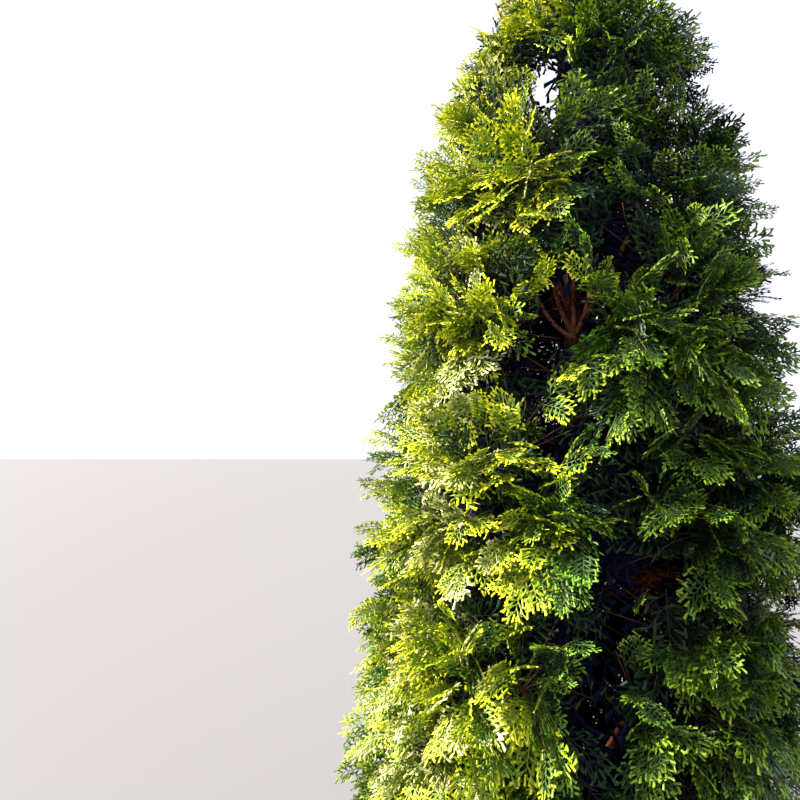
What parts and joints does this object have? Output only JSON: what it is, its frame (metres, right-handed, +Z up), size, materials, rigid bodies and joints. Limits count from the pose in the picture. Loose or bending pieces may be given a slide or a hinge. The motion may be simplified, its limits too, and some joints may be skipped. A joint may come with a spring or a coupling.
{
  "type": "arborvitae",
  "caption": "Upright pyramid-shaped evergreen tree, rooted in the ground: a whole tapering trunk, climbing boughs and dense masses of flat green sprays.",
  "frame": {"origin": "middle of the trunk's flat cut foot, at ground level", "axes": "+Z up along the trunk; -Y and a little -X is the open side that the picture looks at, +X is to the right in that view"},
  "size_m": [1.519, 1.4902, 3.8001],
  "materials": {
    "trunk_bark": "fibrous red-brown bark in long shallow strips, matt",
    "bough_bark": "smoother red-brown bark, matt",
    "foliage": "flat sprays of small overlapping scales, slightly glossy, yellow-green at the tips and deep green inside"
  },
  "bodies": {
    "root": {"trunk": "trunk_bark", "bough_1_1": "bough_bark", "bough_1_2": "bough_bark", "bough_1_3": "bough_bark", "bough_1_4": "bough_bark", "bough_1_5": "bough_bark", "bough_2_1": "bough_bark", "bough_2_2": "bough_bark", "bough_2_3": "bough_bark", "bough_2_4": "bough_bark", "bough_2_5": "bough_bark", "bough_3_1": "bough_bark", "bough_3_2": "bough_bark", "bough_3_3": "bough_bark", "bough_3_4": "bough_bark", "bough_4_1": "bough_bark", "bough_4_2": "bough_bark", "bough_4_3": "bough_bark", "bough_4_4": "bough_bark", "bough_5_1": "bough_bark", "bough_5_2": "bough_bark", "bough_5_3": "bough_bark", "bough_6_1": "bough_bark", "bough_6_2": "bough_bark", "bough_6_3": "bough_bark", "foliage_1_1": "foliage", "foliage_1_2": "foliage", "foliage_1_3": "foliage", "foliage_1_4": "foliage", "foliage_1_5": "foliage", "foliage_2_1": "foliage", "foliage_2_2": "foliage", "foliage_2_3": "foliage", "foliage_2_4": "foliage", "foliage_2_5": "foliage", "foliage_3_1": "foliage", "foliage_3_2": "foliage", "foliage_3_3": "foliage", "foliage_3_4": "foliage", "foliage_4_1": "foliage", "foliage_4_2": "foliage", "foliage_4_3": "foliage", "foliage_4_4": "foliage", "foliage_5_1": "foliage", "foliage_5_2": "foliage", "foliage_5_3": "foliage", "foliage_6_1": "foliage", "foliage_6_2": "foliage", "foliage_6_3": "foliage", "foliage_top": "foliage"}
  },
  "joints": []
}
